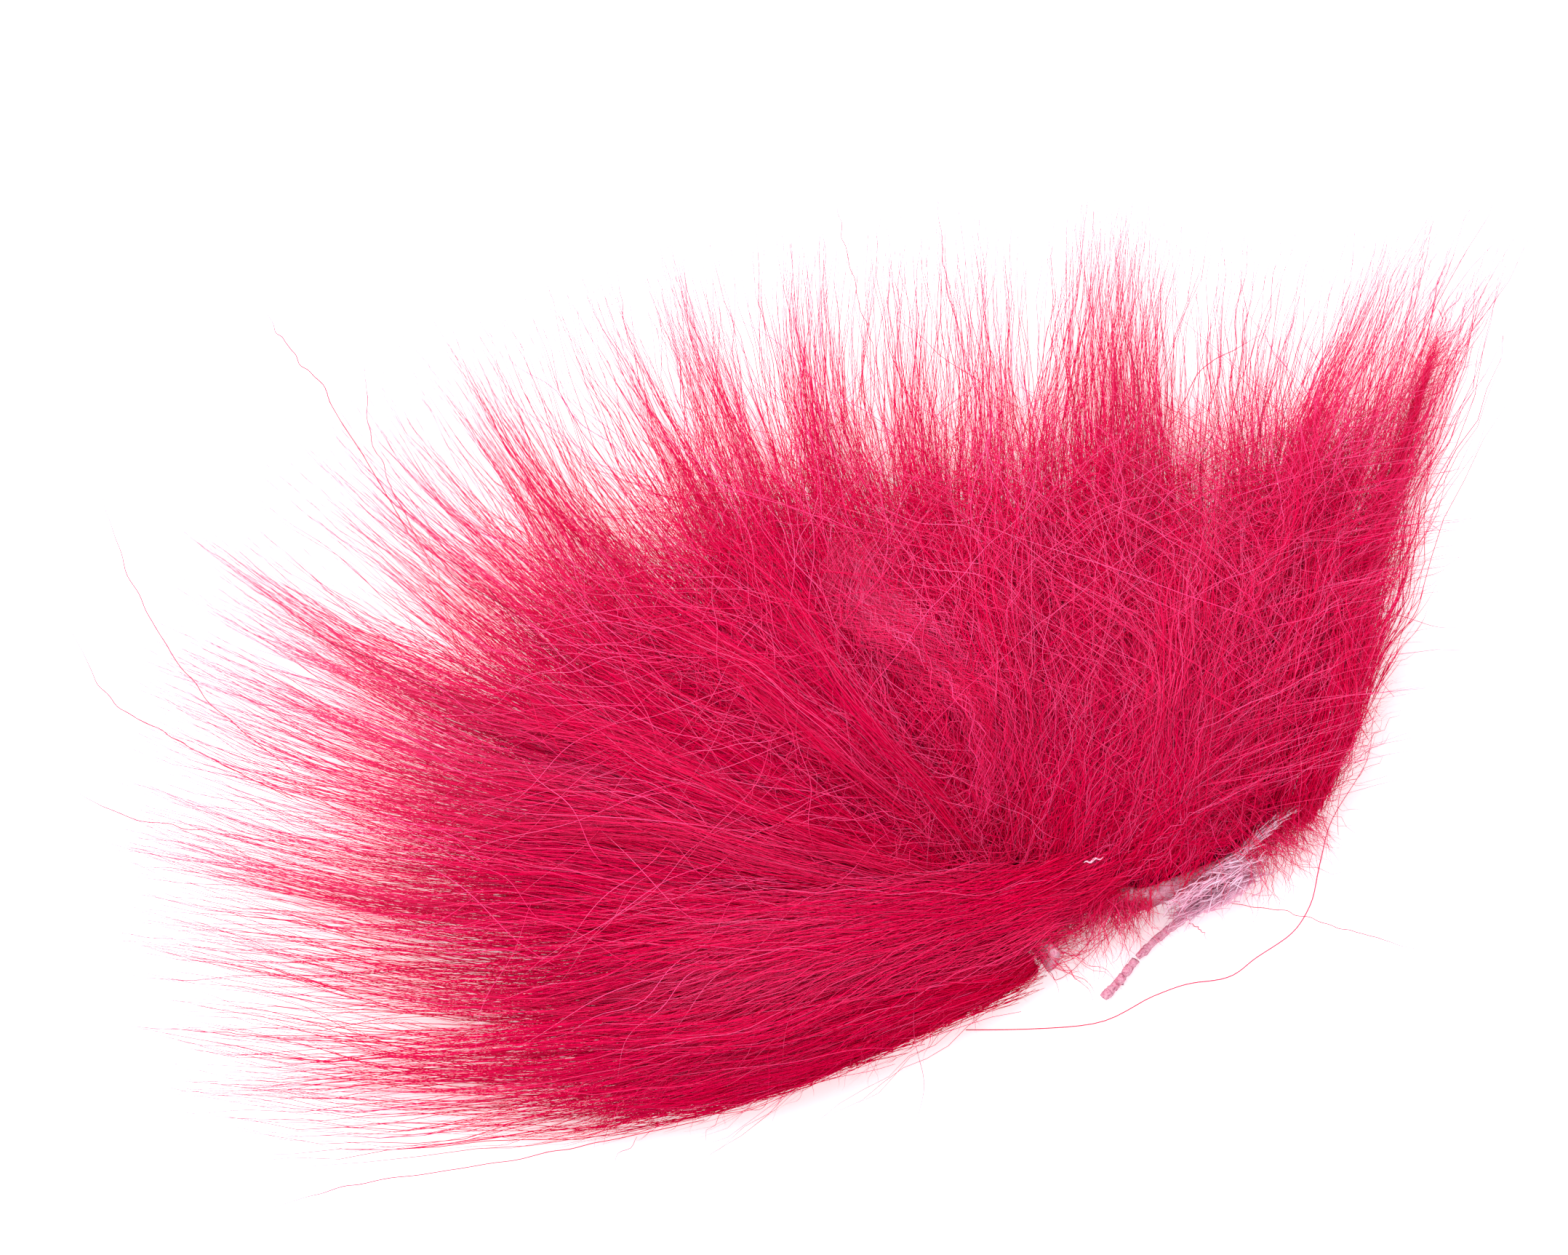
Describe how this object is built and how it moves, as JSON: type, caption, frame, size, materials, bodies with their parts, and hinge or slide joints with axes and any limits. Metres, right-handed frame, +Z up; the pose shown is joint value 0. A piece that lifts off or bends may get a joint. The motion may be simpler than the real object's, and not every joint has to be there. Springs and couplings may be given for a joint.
{
  "type": "dyed fur scrap",
  "caption": "Scrap of long-haired dyed fur on a narrow folded strip of tanned hide, combed out in a flat fan; costume and craft trim.",
  "frame": {"origin": "on the surface the fur lies on, under the middle of the folded piece of hide, where the hair parts", "axes": "+Z up from the surface, +X along the fan towards its right end, +Y from the hide towards the hair tips"},
  "size_m": [0.1085, 0.0788, 0.0204],
  "materials": {
    "guard_hair": "soft sheen, long straight dyed hair",
    "crown_hair": "fluffy crimped dyed hair",
    "underfur": "matt, dense matted down",
    "tanned_hide": "matt suede, mottled",
    "flesh_fibres": "matt, torn fibres"
  },
  "bodies": {
    "centre": {"hide_fold": "tanned_hide", "hide_centre": "tanned_hide", "underfur_centre": "underfur", "guard_lock_09": "guard_hair", "guard_lock_10": "guard_hair", "guard_lock_11": "guard_hair", "guard_lock_12": "guard_hair", "guard_lock_13": "guard_hair", "guard_lock_14": "guard_hair", "crown_lock_05": "crown_hair", "crown_lock_06": "crown_hair", "crown_lock_07": "crown_hair"},
    "left_wing": {"hide_left": "tanned_hide", "underfur_left": "underfur", "guard_lock_01": "guard_hair", "guard_lock_02": "guard_hair", "guard_lock_03": "guard_hair", "guard_lock_04": "guard_hair", "guard_lock_05": "guard_hair", "guard_lock_06": "guard_hair", "guard_lock_07": "guard_hair", "guard_lock_08": "guard_hair", "crown_lock_01": "crown_hair", "crown_lock_02": "crown_hair", "crown_lock_03": "crown_hair", "crown_lock_04": "crown_hair"},
    "right_wing": {"hide_right": "tanned_hide", "flesh_fibres": "flesh_fibres", "underfur_right": "underfur", "guard_lock_15": "guard_hair", "guard_lock_16": "guard_hair", "guard_lock_17": "guard_hair", "guard_lock_18": "guard_hair", "crown_lock_08": "crown_hair", "crown_lock_09": "crown_hair"},
    "tail_base": {"tail_base": "tanned_hide"},
    "tail_end": {"tail_end": "tanned_hide"},
    "curl": {"curl_lock": "crown_hair"}
  },
  "joints": [
    {"name": "crease_fold", "type": "hinge", "parent": "centre", "child": "left_wing", "pos_m": [0.0011, -0.00058, 0], "axis": [0, 0, 1], "range_deg": [0, 15], "stiffness_Nm_per_rad": 0.002},
    {"name": "wing_bend", "type": "hinge", "parent": "centre", "child": "right_wing", "pos_m": [0.01285, -0.0014, 0], "axis": [0, 0, 1], "range_deg": [-15, 0], "stiffness_Nm_per_rad": 0.002},
    {"name": "curl_lift", "type": "hinge", "parent": "centre", "child": "curl", "pos_m": [0.00013, 0.0056, 0.0119], "axis": [0.8534, 0.5213, 0], "range_deg": [0, 40], "stiffness_Nm_per_rad": 0.0002},
    {"name": "tail_swing", "type": "hinge", "parent": "right_wing", "child": "tail_base", "pos_m": [0.01605, -0.00213, 0], "axis": [0, 0, 1], "range_deg": [-10, 22], "stiffness_Nm_per_rad": 0.00005},
    {"name": "tail_lift", "type": "hinge", "parent": "tail_base", "child": "tail_end", "pos_m": [0.01196, -0.00581, 0.0022], "axis": [-0.7771, 0.6293, 0], "range_deg": [0, 50], "stiffness_Nm_per_rad": 0.00005}
  ]
}
